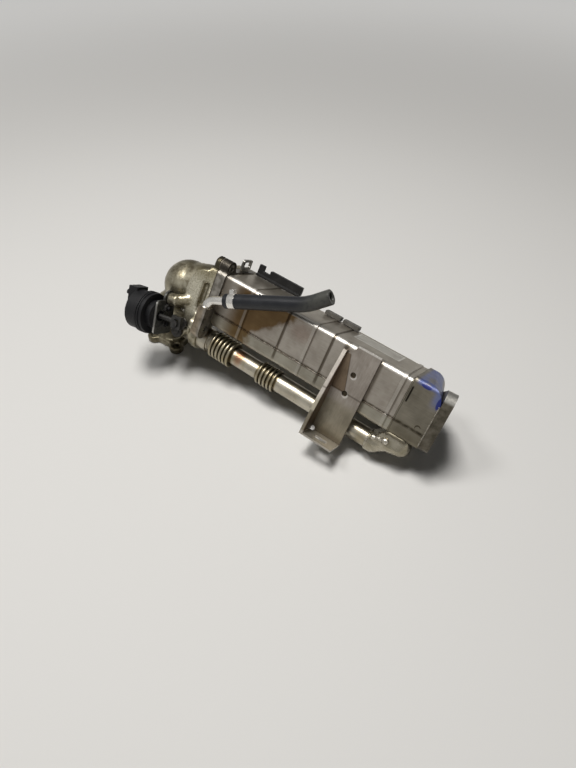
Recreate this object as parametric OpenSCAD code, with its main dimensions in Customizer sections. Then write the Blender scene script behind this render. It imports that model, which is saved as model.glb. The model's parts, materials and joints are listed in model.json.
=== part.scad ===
// Exhaust gas cooler with a bypass pipe, a bypass valve and a vacuum actuator.
// Millimetres. The part lies on its inlet flange: Z is up, Z = 0 is the flange face,
// the origin is the centre of the inlet bore, X points along the cooler to the outlet.
// Most pieces are drawn in the casing's own axes: x along the casing from its rear end,
// y from the front wall to the back wall, z from the top wall (0) down to the bottom wall.

/* [Casing] */
// Length of the casing from the rear end to the outlet hood
casing_len = 250; // [230:5:280]
// Outer width and height of the square casing
casing_side = 69; // [66:1:72]
// Outer corner radius of the casing
casing_r = 6; // [4:0.5:8]
// Thickness of the casing sheet
sheet_t = 1.5; // [1.2:0.1:1.8]
// Depth of the lap seam below the top wall
seam_depth = 51; // [47:1:54]
// Visible slit of the lap seam
seam_slit = 0.6; // [0.4:0.1:1]
// Height of the raised beads on the upper shell
bead_h = 0.8; // [0.5:0.1:1.2]
// Width of the raised beads
bead_w = 5; // [3:0.5:6]

/* [Tube bundle] */
// Number of flat gas tubes
tube_count = 7; // [5:1:7]
// Width of one flat gas tube
tube_w = 50; // [44:1:50]
// Height of one flat gas tube
tube_h = 4.6; // [3.6:0.2:5]
// Spacing of the gas tubes
tube_pitch = 7.2; // [6.6:0.2:7.4]
// Wall of the gas tubes
tube_wall = 0.5; // [0.4:0.1:0.8]
// Thickness of the tube sheets
header_t = 3; // [2:0.5:4]

/* [Pose on the bench] */
// Roll of the casing about its length
casing_roll = 30; // [26:1:34]
// Drop of the outlet end of the casing
casing_pitch = 6.7; // [5.5:0.1:7.5]
// Position of the casing origin along X from the inlet bore
casing_dx = 108; // [104:1:112]
// Position of the casing origin along Y from the inlet bore
casing_dy = 11; // [8:1:14]
// Height of the casing origin over the inlet face
casing_dz = 141.5; // [141.5:0.5:145]

/* [Flange joint] */
// Thickness of the steel cooler flange
cooler_flange_t = 12; // [10:0.5:14]
// Thickness of the flange of the cast housing
housing_flange_t = 12; // [10:0.5:14]
// Thickness of the gasket between them
gasket_t = 1; // [0.6:0.2:1.6]
// Radius of the bolt lugs
lug_r = 9; // [8.5:0.25:9.5]
// Radius of the housing bolts
bolt_r = 3.5; // [3:0.25:4]

/* [Bypass] */
// Outer radius of the bypass tube
bypass_r = 11.5; // [10.5:0.25:12]
// Wall of the bypass tube
bypass_wall = 0.8; // [0.6:0.1:1]
// Distance of the bypass tube behind the front wall
bypass_y = 20; // [18:0.5:24]
// Depth of the bypass tube under the top wall
bypass_depth = 95; // [93:0.5:98]
// Outer radius of the rear bellows
bellows_r1 = 17.5; // [16:0.5:18.5]
// Outer radius of the front bellows
bellows_r2 = 15; // [14:0.5:17]
// Number of folds of the rear bellows
folds_1 = 6; // [4:1:6]
// Number of folds of the front bellows
folds_2 = 5; // [4:1:6]
// Spacing of the folds
fold_pitch = 5.6; // [5:0.2:6]

/* [Valve housing] */
// Radius of the cast dome
dome_r = 33; // [31:0.5:34]
// Casting wall
cast_wall = 4; // [3.5:0.25:4.5]
// Outer radius of the inlet leg
leg_r = 17.5; // [16.5:0.5:19]
// Radius of the inlet bore
inlet_bore_r = 13.5; // [12:0.5:14]
// Thickness of the inlet flange
inlet_flange_t = 10; // [8:0.5:12]
// Half of the square bolt spacing of the inlet flange
inlet_bolt_half = 21; // [20:0.5:23]
// Radius of the inlet bolt holes
inlet_hole_r = 4.5; // [3.5:0.25:5]

/* [Bypass valve] */
// Radius of the flap shaft
shaft_r = 4; // [3.5:0.25:4.25]
// Running clearance of the shaft in its bushes
shaft_clear = 0.05; // [0.03:0.01:0.09]
// Clearance of the flap in the bypass duct
flap_clear = 0.5; // [0.4:0.1:0.8]
// Length of the flap lever between shaft and pin
lever_len = 15; // [14:0.5:16]
// Angle of the lever in the rest position from upright, toward the outlet
lever_rest = 30; // [26:1:32]

/* [Actuator] */
// Outer radius of the actuator can
can_r = 26; // [24:0.5:26.5]
// Depth of the actuator cup
cup_len = 14; // [13:0.5:16]
// Length of the actuator cover
cover_len = 19; // [18:0.5:21]
// Wall of the actuator can
can_wall = 1.8; // [1.4:0.2:2.2]
// Tilt of the actuator axis
act_tilt = 11; // [9:1:13]
// Radius of the actuator rod
rod_r = 3; // [2.5:0.25:3.5]
// Radius of the vacuum nozzle
nozzle_r = 2.75; // [2.25:0.25:3.25]

/* [Coolant side] */
// Outer radius of the coolant pipes
pipe_r = 5.5; // [5:0.25:6]
// Wall of the coolant pipes
pipe_wall = 1; // [0.8:0.1:1.4]
// Outer radius of the coolant hose
hose_r = 9; // [8.5:0.25:9.5]
// Straight length of the coolant hose
hose_straight = 96; // [86:2:106]
// Bend radius of the hose end
hose_bend_r = 74; // [74:2:90]
// Bend angle of the hose end
hose_bend = 18; // [12:1:26]
// Length of the hose behind the bend
hose_tail = 20; // [12:1:26]
// Width of the hose clamp
clamp_w = 9; // [7:0.5:11]

/* [Outlet] */
// Angle of the outlet flange to the square end
outlet_yaw = 10; // [9:0.5:12]
// Length of the outlet hood along the front wall
hood_len = 36.5; // [34:0.5:40]
// Radius of the rounded hood end
hood_r = 19; // [18:1:21]
// Rise of the hood over the top wall of the casing
hood_rise = 3; // [1:0.5:5]
// Thickness of the outlet flange
outlet_t = 11.5; // [10:0.5:13]
// Radius of the outlet bore
outlet_bore_r = 16; // [14:0.5:16.5]
// Reach of the bolt lugs of the outlet flange sideways from the bore
outlet_lug_y = 27; // [25:0.5:29]
// Reach of the bolt lugs of the outlet flange up and down from the bore
outlet_lug_z = 34; // [33:0.5:36]
// Radius of the outlet bolt holes
outlet_hole_r = 4.25; // [3.5:0.25:5]

/* [Mounting bracket] */
// Thickness of the bracket sheet
bracket_t = 2.3; // [1.8:0.1:2.8]
// Distance of the left edge of the bracket from the front end of the casing
bracket_back = 80; // [74:1:90]
// Width of the bracket web
bracket_w = 41; // [38:1:44]
// Depth of the bracket foot under the top wall
foot_depth = 112; // [108:1:116]
// Reach of the bracket foot in front of the casing
foot_reach = 27; // [24:1:30]
// Radius of the bracket holes
bracket_hole_r = 3.4; // [2.8:0.2:4]

/* [Hidden] */
$fn = 48;
// Gap left by brazed and pressed joints
fit = 0.1;
// Length by which straight runs lap into a bend
lap = 0.6;

cs = casing_side;
mid = cs / 2;
header_x = -7;
shell_x = header_x + header_t;
shell_end = casing_len;
hood_x = shell_end + 2;
hood_end = shell_end + 2 + hood_len;
cooler_flange_x = header_x - cooler_flange_t;
gasket_x = cooler_flange_x - gasket_t;
housing_x = gasket_x - housing_flange_t;
bz = -bypass_depth;
open_side = cs - 18;

// Bolt lugs of the flange joint, y and z
head_r = 5.5;
head_h = 6;
lug_pos = [[8, 5.6], [cs + 5, -9], [-5, -cs - 7], [cs + 5, -cs - 7]];
// Dome of the housing
dome = [housing_x - 44, mid + 0.5, -48];
// Valve shaft
shaft_x = housing_x - 10;
shaft_y0 = -12;
shaft_y1 = bypass_y + 18;
duct_r = bypass_r - bypass_wall;
duct_out = duct_r + cast_wall;
flap_r = duct_r - flap_clear;
// Actuator: pin of the lever at mid stroke lies on the rod axis
act_y = -22.5;
pin_mid = [shaft_x - lever_len * sin(act_tilt), act_y, bz + lever_len * cos(act_tilt)];
act_gap = 19;
act_o = [pin_mid[0] - act_gap * cos(act_tilt), act_y, pin_mid[2] - act_gap * sin(act_tilt)];
pin_r = 2.5;
plate_t = 2.5;
bracket_x = casing_len - bracket_back;
// Coolant pipe
pipe_y = -10;
pipe_x = header_x - 6;
block_top = -47;
block_w = 20;
block_y = -7;
block_low = -cs - 9;
pipe_bend_r = 14;
pipe_turn = 66;
pipe_e = [pipe_x + pipe_bend_r * (1 - cos(pipe_turn)), block_top + pipe_bend_r * sin(pipe_turn)];
hose_free = 16;
hose_grip = 26;

// Casing axes to bench axes
module in_casing() {
  translate([casing_dx, casing_dy, casing_dz])
    rotate([-casing_roll, casing_pitch, 0])
      children();
}

// Actuator axes: x along the rod toward the lever, origin on the plate face
module in_actuator() {
  translate(act_o)
    rotate([0, -act_tilt, 0])
      children();
}

// Outlet axes: x out of the outlet flange, origin on the front edge of the hood end
module in_outlet() {
  translate([hood_end, 0, 0])
    rotate([0, 0, outlet_yaw])
      children();
}

module along_x(x0, len) {
  translate([x0, 0, 0])
    rotate([90, 0, 90])
      linear_extrude(len)
        children();
}

module along_y(y0, len) {
  translate([0, y0 + len, 0])
    rotate([90, 0, 0])
      linear_extrude(len)
        children();
}

module rod_x(x0, len, r, y, z) {
  translate([x0, y, z])
    rotate([0, 90, 0])
      cylinder(r = r, h = len);
}

module rod_y(y0, len, r, x, z) {
  translate([x, y0, z])
    rotate([-90, 0, 0])
      cylinder(r = r, h = len);
}

// Round bar between two points
module bar(a, b, r) {
  d = b - a;
  translate(a)
    rotate([0, acos(d[2] / norm(d)), atan2(d[1], d[0])])
      cylinder(r = r, h = norm(d));
}

// Ball at a with its poles on the line to b
module ball(a, b, r) {
  d = b - a;
  translate(a)
    rotate([0, acos(d[2] / norm(d)), atan2(d[1], d[0])])
      sphere(r);
}

module rr(w, h, r) {
  square([w - 2 * r, h], center = true);
  square([w, h - 2 * r], center = true);
  for (i = [-1, 1])
    for (j = [-1, 1])
      translate([i * (w / 2 - r), j * (h / 2 - r)])
        circle(r);
}

// Casing section in y and z, moved inward by inset
module section(inset) {
  translate([mid, -mid])
    rr(cs - 2 * inset, cs - 2 * inset, casing_r - inset);
}

module sheet_ring(outer, inner) {
  difference() {
    section(outer);
    section(inner);
  }
}

module band_z(z0, z1) {
  translate([-50, z0])
    square([cs + 100, z1 - z0]);
}

module upper_shell() {
  color([0.62, 0.6, 0.57])
    in_casing()
      difference() {
        union() {
          along_x(shell_x, shell_end - shell_x)
            intersection() {
              sheet_ring(0, sheet_t);
              band_z(-seam_depth + seam_slit / 2, 10);
            }
          for (x = [0.14, 0.5, 0.964])
            along_x(x * casing_len - bead_w / 2, bead_w)
              intersection() {
                sheet_ring(-bead_h, sheet_t / 2);
                band_z(-seam_depth + 3, 10);
              }
        }
        for (x = [0.3625, 0.604])
          along_x(x * casing_len - 0.9, 1.8)
            intersection() {
              sheet_ring(-2, sheet_t * 0.5);
              band_z(-seam_depth + 2, 10);
            }
        rod_y(cs - 5, 10, pipe_r + fit, 0.87 * casing_len, -mid);
      }
}

module lower_shell() {
  color([0.58, 0.57, 0.54])
    in_casing()
      along_x(shell_x, shell_end - shell_x) {
        intersection() {
          sheet_ring(0, sheet_t);
          band_z(-cs - 5, -seam_depth - seam_slit / 2);
        }
        intersection() {
          sheet_ring(sheet_t / 2, 2 * sheet_t);
          band_z(-seam_depth - 7, -seam_depth - seam_slit / 2);
        }
        intersection() {
          sheet_ring(sheet_t + fit, 2 * sheet_t);
          band_z(-seam_depth - 2, -seam_depth + 7);
        }
      }
}

module tube_slots(grow) {
  for (i = [0 : tube_count - 1])
    translate([mid, -mid + (i - (tube_count - 1) / 2) * tube_pitch])
      rr(tube_w + 2 * grow, tube_h + 2 * grow, tube_h / 2 + grow - 0.2);
}

module gas_tubes() {
  color([0.6, 0.58, 0.55])
    in_casing()
      along_x(header_x, hood_x - header_x)
        difference() {
          tube_slots(0);
          tube_slots(-tube_wall);
        }
}

module rear_header() {
  color([0.55, 0.53, 0.5])
    in_casing()
      difference() {
        along_x(header_x, header_t)
          difference() {
            section(2);
            tube_slots(fit);
          }
        rod_x(header_x - 1, header_t + 2, 2.4, 5, -54);
      }
}

module front_header() {
  color([0.55, 0.53, 0.5])
    in_casing()
      along_x(shell_end, hood_x - shell_end)
        difference() {
          section(0.5);
          tube_slots(fit);
        }
}

// Common outline of the two flanges and the gasket
module joint_outline() {
  translate([mid, -mid])
    rr(cs + 2, cs + 2, 8);
  joint_lugs();
}

// Lugs with their webs to the square of the joint
module joint_lugs() {
  for (p = lug_pos) {
    translate(p)
      circle(lug_r);
    web(p, [mid + (p[0] - mid) * 0.7, -mid + (p[1] + mid) * 0.7], 2 * lug_r - 3);
  }
}

// Straight strip between two points
module web(a, b, w) {
  d = b - a;
  translate(a)
    rotate(atan2(d[1], d[0]))
      translate([0, -w / 2])
        square([norm(d), w]);
}

module bolt_holes(r) {
  for (p = lug_pos)
    translate(p)
      circle(r);
}

// Gas opening of the flange joint
module gas_opening(inset) {
  translate([mid, -mid])
    rr(open_side - 2 * inset, open_side - 2 * inset, 10);
}

module cooler_flange() {
  color([0.5, 0.48, 0.45])
    in_casing()
      difference() {
        union() {
          along_x(cooler_flange_x, cooler_flange_t)
            joint_outline();
          along_x(cooler_flange_x, cooler_flange_t) {
            translate([block_y - block_w / 2, block_low])
              square([block_w, block_top - block_low]);
            translate([block_y, block_low])
              circle(block_w / 2);
          }
        }
        along_x(cooler_flange_x - 1, cooler_flange_t + 2)
          gas_opening(0);
        along_x(cooler_flange_x - 1, cooler_flange_t + 2)
          bolt_holes(bolt_r + 0.4);
        along_x(header_x - head_h, head_h + 1)
          bolt_holes(head_r + 0.3);
        translate([pipe_x, pipe_y, block_top - 10])
          cylinder(r = pipe_r + fit, h = 12);
        rod_y(pipe_y, 5 - pipe_y, 2.4, pipe_x, -54);
        rod_x(pipe_x, 10, 2.4, 5, -54);
      }
}

module housing_gasket() {
  color([0.3, 0.28, 0.26])
    in_casing()
      along_x(gasket_x, gasket_t)
        difference() {
          joint_outline();
          gas_opening(-1);
          bolt_holes(bolt_r + 0.4);
        }
}

// Side wall of the housing, x and z
module side_wall() {
  polygon([[housing_x + 2, -6], [housing_x - 6, -8], [housing_x - 14, -13], [housing_x - 20, -24],
    [housing_x - 22, -40], [housing_x - 18, -60], [housing_x - 12, -74], [housing_x + 2, bz]]);
}

module inlet_lugs(r) {
  for (i = [-1, 1])
    for (j = [-1, 1])
      translate([i * inlet_bolt_half, j * inlet_bolt_half])
        circle(r);
}

leg_top = 60;
// Hollow in the edge of the housing flange, lower and upper end
hollow_z0 = -50;
hollow_z1 = -25;
// A point of the bench axes in casing axes
function to_casing(p) =
  let (q = p - [casing_dx, casing_dy, casing_dz])
  let (x1 = cos(casing_pitch) * q[0] - sin(casing_pitch) * q[2])
  let (z1 = sin(casing_pitch) * q[0] + cos(casing_pitch) * q[2])
  [x1, cos(casing_roll) * q[1] - sin(casing_roll) * z1, sin(casing_roll) * q[1] + cos(casing_roll) * z1];
leg_joint = to_casing([0, 0, leg_top]);
tee_joint = to_casing([0, 0, 46]);
duct_x = shaft_x - 36;

module housing_outer() {
  in_casing() {
    ball(dome, leg_joint, dome_r);
    bar(dome, [housing_x + 2, mid, -34], dome_r - 2);
    along_y(-4, 40)
      side_wall();
    along_x(gasket_x - 8, 8)
      joint_lugs();
    along_x(housing_x, housing_flange_t) {
      translate([mid, -mid])
        rr(cs + 2, cs + 2, 8);
      translate([bypass_y, bz])
        circle(duct_out + 4);
      translate([bypass_y - 14, bz])
        square([28, 40]);
    }
    rod_x(duct_x, housing_x - duct_x + 1, duct_out, bypass_y, bz);
    ball([duct_x, bypass_y, bz], tee_joint, duct_out + 0.7);
    rod_y(-6, shaft_y1 + 10, 8, shaft_x, bz);
    bar(dome, leg_joint, leg_r + 1);
    bar([duct_x, bypass_y, bz], tee_joint, duct_out);
    bar([housing_x - 8, 3, -50], arm_mid, 7);
    in_actuator()
      rod_x(0, 14, 8, arm_y, arm_z);
  }
  linear_extrude(inlet_flange_t) {
    rr(2 * inlet_bolt_half, 2 * inlet_bolt_half + 6, 8);
    rr(2 * inlet_bolt_half + 6, 2 * inlet_bolt_half, 8);
    inlet_lugs(10);
  }
  cylinder(r = leg_r, h = leg_top);
  translate([0, 0, leg_top])
    sphere(leg_r + 2);
}

arm_y = 14;
arm_z = 22;
arm_mid = act_o + [9 * cos(act_tilt) - arm_z * sin(act_tilt), arm_y, 9 * sin(act_tilt) + arm_z * cos(act_tilt)];

module valve_housing() {
  color([0.66, 0.62, 0.5])
    difference() {
      housing_outer();
      in_casing() {
        ball(dome, leg_joint, dome_r - cast_wall);
        bar(dome, [housing_x + 4, mid, -34], dome_r - 2 - cast_wall);
        along_x(housing_x + 3, housing_flange_t)
          gas_opening(0);
        along_x(gasket_x - 9, 10)
          bolt_holes(bolt_r + fit);
        rod_x(duct_x, gasket_x - duct_x + 5, duct_r, bypass_y, bz);
        rod_x(gasket_x - 7, 10, duct_r + 2.2, bypass_y, bz);
        for (z = [hollow_z0, hollow_z1])
          rod_y(-10, 12, 3, housing_x + 4.5, z);
        translate([housing_x + 1.7, -10, hollow_z0])
          cube([5.6, 12, hollow_z1 - hollow_z0]);
        ball([duct_x, bypass_y, bz], tee_joint, duct_r + 0.7);
        rod_y(-10, shaft_y1 + 12, shaft_r + 1.5 + fit, shaft_x, bz);
        bar(dome, leg_joint, inlet_bore_r);
        bar([duct_x, bypass_y, bz], tee_joint, duct_r);
        in_actuator()
          rod_x(-1, 10, 3 + fit, arm_y, arm_z);
      }
      translate([0, 0, -1])
        cylinder(r = inlet_bore_r, h = leg_top + 1);
      translate([0, 0, leg_top])
        sphere(inlet_bore_r + 0.7);
      translate([0, 0, -1])
        linear_extrude(inlet_flange_t + 2)
          inlet_lugs(inlet_hole_r);
    }
}

module housing_bolts() {
  color([0.45, 0.45, 0.44])
    in_casing()
      for (p = lug_pos)
        difference() {
          union() {
            rod_x(gasket_x - 7, header_x - head_h - gasket_x + 8, bolt_r, p[0], p[1]);
            rod_x(header_x - head_h, head_h - 0.3, head_r, p[0], p[1]);
          }
          translate([header_x - 3, p[0], p[1]])
            rotate([0, 90, 0])
              cylinder(r = 3, h = 4, $fn = 6);
        }
}

module flap_shaft() {
  color([0.6, 0.6, 0.58])
    in_casing()
      difference() {
        rod_y(shaft_y0, shaft_y1 - shaft_y0, shaft_r, shaft_x, bz);
        translate([shaft_x, bypass_y - flap_r - 0.2, bz - 10])
          cube([10, 2 * flap_r + 0.4, 20]);
        for (d = [-5, 5])
          rod_x(shaft_x - 3, 6, 1.5, bypass_y + d, bz);
      }
}

module bypass_flap() {
  color([0.55, 0.53, 0.48])
    in_casing()
      difference() {
        rod_x(shaft_x, 2, flap_r, bypass_y, bz);
        for (d = [-5, 5])
          rod_x(shaft_x - 1, 6, 1.5, bypass_y + d, bz);
      }
}

module flap_screws() {
  color([0.5, 0.5, 0.5])
    in_casing()
      for (d = [-5, 5]) {
        rod_x(shaft_x - 2.5, 5, 1.4, bypass_y + d, bz);
        rod_x(shaft_x + 2, 1.2, 2.6, bypass_y + d, bz);
      }
}

module shaft_bushes() {
  color([0.6, 0.5, 0.3])
    in_casing()
      difference() {
        union() {
          rod_y(-6, 13, shaft_r + 1.5, shaft_x, bz);
          rod_y(shaft_y1 - 6, 8, shaft_r + 1.5, shaft_x, bz);
        }
        rod_y(-20, 80, shaft_r + shaft_clear, shaft_x, bz);
      }
}

rest_along = lever_len * sin(lever_rest);
rest_up = lever_len * cos(lever_rest);
pin_rest = [shaft_x + rest_along * cos(act_tilt) - rest_up * sin(act_tilt),
  bz + rest_along * sin(act_tilt) + rest_up * cos(act_tilt)];
lever_turn = act_tilt - lever_rest;
rod_shift = lever_len * lever_rest * PI / 180;
eye_x = act_gap + rod_shift;

module flap_lever() {
  color([0.35, 0.34, 0.33])
    in_casing()
      along_y(-11.5, 4.5)
        difference() {
          union() {
            translate([shaft_x, bz])
              circle(8);
            translate(pin_rest)
              circle(6);
            translate([shaft_x, bz])
              rotate(lever_turn)
                translate([-5, 0])
                  square([10, lever_len]);
          }
          translate([shaft_x, bz])
            circle(shaft_r + 0.02);
          translate(pin_rest)
            circle(pin_r + 0.02);
        }
}

module lever_pin() {
  color([0.6, 0.6, 0.6])
    in_casing() {
      rod_y(act_y - 5.5, -1.5 - act_y, pin_r, pin_rest[0], pin_rest[1]);
      rod_y(act_y - 6.5, 2, 4.4, pin_rest[0], pin_rest[1]);
    }
}

piston_x = -plate_t - 5;
piston_r = 13.2;
cup_front_r = 18;
stud_y = 8.5;
stud_z = 10;
clamp_x = -plate_t - cup_len;
dia_t = 1.2;
cover_end = clamp_x - dia_t - cover_len;
// Nozzle block on the actuator cover
block_out = 11;
block_wide = 20;
block_high = 23;
block_z = 5;
nozzle_out = block_out + 9;
nozzle_z = 17;

module actuator_rod() {
  color([0.6, 0.6, 0.58])
    in_casing()
      in_actuator()
        difference() {
          union() {
            rod_x(piston_x - 3, eye_x - 5 - piston_x + 3, rod_r, 0, 0);
            translate([eye_x - 7, -3, -9])
              cube([14, 6, 16]);
          }
          translate([eye_x - pin_r - 0.8, -5, -2 - pin_r - 0.5])
            cube([2 * pin_r + 1.6, 10, 2 * pin_r + 3]);
        }
}

module diaphragm_plate() {
  color([0.55, 0.55, 0.53])
    in_casing()
      in_actuator()
        difference() {
          rod_x(piston_x - 1.5, 1.5, piston_r, 0, 0);
          rod_x(piston_x - 5, 10, rod_r + 0.02, 0, 0);
        }
}

module turned() {
  rotate([0, 90, 0])
    rotate_extrude()
      children();
}

module diaphragm() {
  color([0.15, 0.15, 0.15])
    in_casing()
      in_actuator()
        turned()
          polygon([[rod_r + 0.02, piston_x - 1.5], [piston_r - 0.5, piston_x - 1.5], [22.5, clamp_x],
            [can_r - 0.5, clamp_x], [can_r - 0.5, clamp_x - dia_t], [21.5, clamp_x - dia_t],
            [piston_r - 1.3, piston_x - 1.5 - dia_t], [rod_r + 0.02, piston_x - 1.5 - dia_t]]);
}

spring_r = 10.4;
spring_turns = 3;
spring_wire = 1;
spring_x = cover_end + can_wall + spring_wire + 0.2;
spring_pitch = (piston_x - 1.5 - dia_t - spring_wire - 0.2 - spring_x) / spring_turns;

module return_spring() {
  color([0.5, 0.5, 0.48])
    in_casing()
      in_actuator()
        translate([spring_x, 0, 0])
          rotate([0, 90, 0])
            for (k = [0 : 2 * spring_turns - 1])
              translate([0, 0, (k + 0.5) * spring_pitch / 2])
                rotate([0, asin(spring_pitch / 4 / spring_r), 180 * k])
                  rotate_extrude(angle = 180, $fn = 40)
                    translate([spring_r, 0])
                      circle(spring_wire, $fn = 8);
}

module actuator_cup() {
  color([0.12, 0.12, 0.12])
    in_casing()
      in_actuator()
        difference() {
          union() {
            rod_x(clamp_x, cup_len, cup_front_r, 0, 0);
            rod_x(clamp_x, cup_len / 2, can_r, 0, 0);
            rod_x(clamp_x, 2, can_r + 1, 0, 0);
            for (z = [-stud_z, stud_z])
              rod_x(-plate_t - 1, plate_t + 8, 2.5, stud_y, z);
          }
          rod_x(clamp_x - 1, cup_len - can_wall + 1, cup_front_r - can_wall, 0, 0);
          rod_x(clamp_x - 1, cup_len / 2 - can_wall + 1, can_r - can_wall - 1, 0, 0);
          rod_x(clamp_x - 1, 50, rod_r + 0.3, 0, 0);
        }
}

module actuator_cover() {
  color([0.1, 0.1, 0.1])
    in_casing()
      in_actuator()
        difference() {
          union() {
            rod_x(cover_end, cover_len, can_r - 1, 0, 0);
            rod_x(clamp_x - dia_t - 4, 4, can_r + 1, 0, 0);
            rod_x(cover_end - 3, 4, 19, 0, 0);
            translate([cover_end - block_out, -block_wide / 2, block_z])
              cube([block_out + 3, block_wide, block_high]);
            rod_x(cover_end - nozzle_out, nozzle_out, nozzle_r, 0, nozzle_z);
            rod_x(cover_end - nozzle_out, 2, nozzle_r + 0.5, 0, nozzle_z);
          }
          rod_x(cover_end + can_wall, 40, can_r - 1 - can_wall, 0, 0);
          rod_x(cover_end - 30, 40, nozzle_r - 1.3, 0, nozzle_z);
        }
}

module actuator_plate() {
  color([0.4, 0.4, 0.4])
    in_casing()
      in_actuator()
        along_x(-plate_t, plate_t)
          difference() {
            union() {
              translate([8, -2])
                rr(34, 44, 5);
              translate([arm_y, arm_z])
                circle(10);
            }
            circle(7);
            for (z = [-stud_z, stud_z])
              translate([stud_y, z])
                circle(2.9);
            translate([arm_y, arm_z])
              circle(3.4);
          }
}

module actuator_nuts() {
  color([0.62, 0.62, 0.6])
    in_casing()
      in_actuator()
        for (z = [-stud_z, stud_z])
          difference() {
            translate([0, stud_y, z])
              rotate([0, 90, 0])
                cylinder(r = 5, h = 3.8, $fn = 6);
            rod_x(-1, 10, 2.55, stud_y, z);
          }
}

module plate_bolt() {
  color([0.6, 0.6, 0.58])
    in_casing()
      in_actuator() {
        rod_x(-plate_t, 10, 3, arm_y, arm_z);
        translate([-plate_t - 4, arm_y, arm_z])
          rotate([0, 90, 0])
            cylinder(r = 5.4, h = 4, $fn = 6);
      }
}

tube_x0 = gasket_x;
tube_x1 = casing_len - 7;

// One fold of a bellows, radius against length
module fold(x, r_out, half) {
  translate([0, x - half])
    square([r_out - half, 2 * half]);
  translate([r_out - half, x])
    circle(half, $fn = 32);
}

module folds(half, cut) {
  for (i = [0 : folds_1 - 1])
    fold(3 + i * fold_pitch, bellows_r1 - cut, half);
  for (i = [0 : folds_2 - 1])
    fold(0.31 * casing_len + i * fold_pitch, bellows_r2 - cut, half);
}

module bypass_tube() {
  color([0.7, 0.66, 0.52])
    in_casing()
      translate([0, bypass_y, bz])
        turned()
          difference() {
            union() {
              translate([0, tube_x0])
                square([bypass_r, tube_x1 - tube_x0]);
              folds(1.8, 0);
            }
            translate([0, tube_x0 - 1])
              square([bypass_r - bypass_wall, tube_x1 - tube_x0 + 2]);
            folds(1.8 - bypass_wall, bypass_wall);
            translate([-50, -100])
              square([50, 500]);
          }
}

module bypass_sleeve() {
  color([0.72, 0.7, 0.64])
    in_casing()
      difference() {
        union() {
          rod_x(gasket_x, 14, bypass_r + 4, bypass_y, bz);
          rod_x(gasket_x - 7, 8, duct_r + 2.2 - fit, bypass_y, bz);
        }
        rod_x(gasket_x, 20, bypass_r + fit, bypass_y, bz);
        rod_x(gasket_x - 8, 20, duct_r, bypass_y, bz);
      }
}

// Side profile of the hood in outlet axes, x and z
module hood_profile(inset) {
  translate([-70, -cs - 5])
    square([70 - inset, cs + 5 + hood_rise - hood_r]);
  translate([-70, hood_rise - hood_r - 1])
    square([70 - hood_r, hood_r + 1 - inset]);
  translate([-hood_r, hood_rise - hood_r])
    circle(hood_r - inset);
}

module hood_body(inset) {
  intersection() {
    along_x(hood_x - inset, 80)
      translate([mid, -(cs - hood_rise) / 2])
        rr(cs - 2 * inset, cs + hood_rise - 2 * inset, casing_r - inset);
    in_outlet()
      along_y(-40, 160)
        hood_profile(inset);
  }
}

outlet_y = mid;
outlet_z = -(cs / 2 + 7);

module outlet_hood() {
  color([0.58, 0.57, 0.5])
    in_casing()
      difference() {
        hood_body(0);
        hood_body(sheet_t);
        in_outlet()
          rod_x(-10, 20, outlet_bore_r, outlet_y, outlet_z);
        translate([hood_x + 5, 12, -cs - 5])
          cube([16, 36, 10]);
        along_x(hood_x - 1, hood_len)
          intersection() {
            sheet_ring(-2, sheet_t * 0.5);
            band_z(-seam_depth - seam_slit / 2, -seam_depth + seam_slit / 2);
            translate([-20, -cs])
              square([30, cs]);
          }
      }
}

module pocket(inset) {
  hull() {
    rod_x(tube_x1 - 7, 4, bypass_r + 2 - inset, bypass_y, bz, $fn = 32);
    translate([hood_x + 16, 17, -cs - 15])
      sphere(14.5 - inset, $fn = 32);
    translate([hood_x + 10, 49, -cs - 10.5])
      sphere(10 - inset, $fn = 32);
    translate([hood_x + inset, 5 + inset, -cs - 1 - fit])
      cube([25 - 2 * inset, 52 - 2 * inset, 1]);
  }
}

module bypass_collector() {
  color([0.6, 0.58, 0.5])
    in_casing()
      difference() {
        union() {
          pocket(0);
          rod_x(tube_x1 - 9, 8, bypass_r + 2, bypass_y, bz);
        }
        difference() {
          pocket(sheet_t);
          translate([0, -50, -200])
            cube([tube_x1, 200, 300]);
        }
        translate([hood_x + 5, 12, -cs - 3])
          cube([16, 36, 10]);
        rod_x(tube_x1 - 20, 21, bypass_r + fit, bypass_y, bz);
      }
}

// Corners of the skewed outlet flange around the bore
outlet_low_z = 15;
outlet_corner_r = 12;
outlet_corners = [[-outlet_lug_y, outlet_lug_z], [outlet_lug_y, outlet_low_z],
  [outlet_lug_y, -outlet_lug_z], [-outlet_lug_y, -outlet_low_z]];

module outlet_outline() {
  hull()
    for (c = outlet_corners)
      translate(c)
        circle(outlet_corner_r, $fn = 48);
}

module outlet_flange() {
  color([0.5, 0.5, 0.47])
    in_casing()
      in_outlet()
        difference() {
          along_x(0, outlet_t)
            translate([outlet_y, outlet_z])
              outlet_outline();
          rod_x(-1, outlet_t + 2, outlet_bore_r, outlet_y, outlet_z);
          for (i = [-1, 1])
            rod_x(outlet_t - 9, 10, outlet_hole_r, outlet_y + i * outlet_lug_y, outlet_z - i * outlet_lug_z);
        }
}

// Round bar along x, bent toward z, then straight again; the bend is a hair thicker
module bent_bar(l1, bend_r, turn, l2, r, over) {
  rod_x(-over, l1 + over + lap, r, 0, 0);
  translate([l1, 0, bend_r])
    rotate([90, 0, 0])
      rotate([0, 0, -90])
        rotate_extrude(angle = turn)
          translate([bend_r, 0])
            circle(r + lap / 8);
  translate([l1 + bend_r * sin(turn), 0, bend_r * (1 - cos(turn))])
    rotate([0, -turn, 0])
      rod_x(-lap, l2 + over + lap, r, 0, 0);
}

// Hose axes: x along the hose from its clamped end
module in_hose() {
  translate([pipe_e[0], pipe_y, pipe_e[1]])
    rotate([0, -(90 - pipe_turn), 0])
      translate([hose_free, 0, 0])
        children();
}

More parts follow.
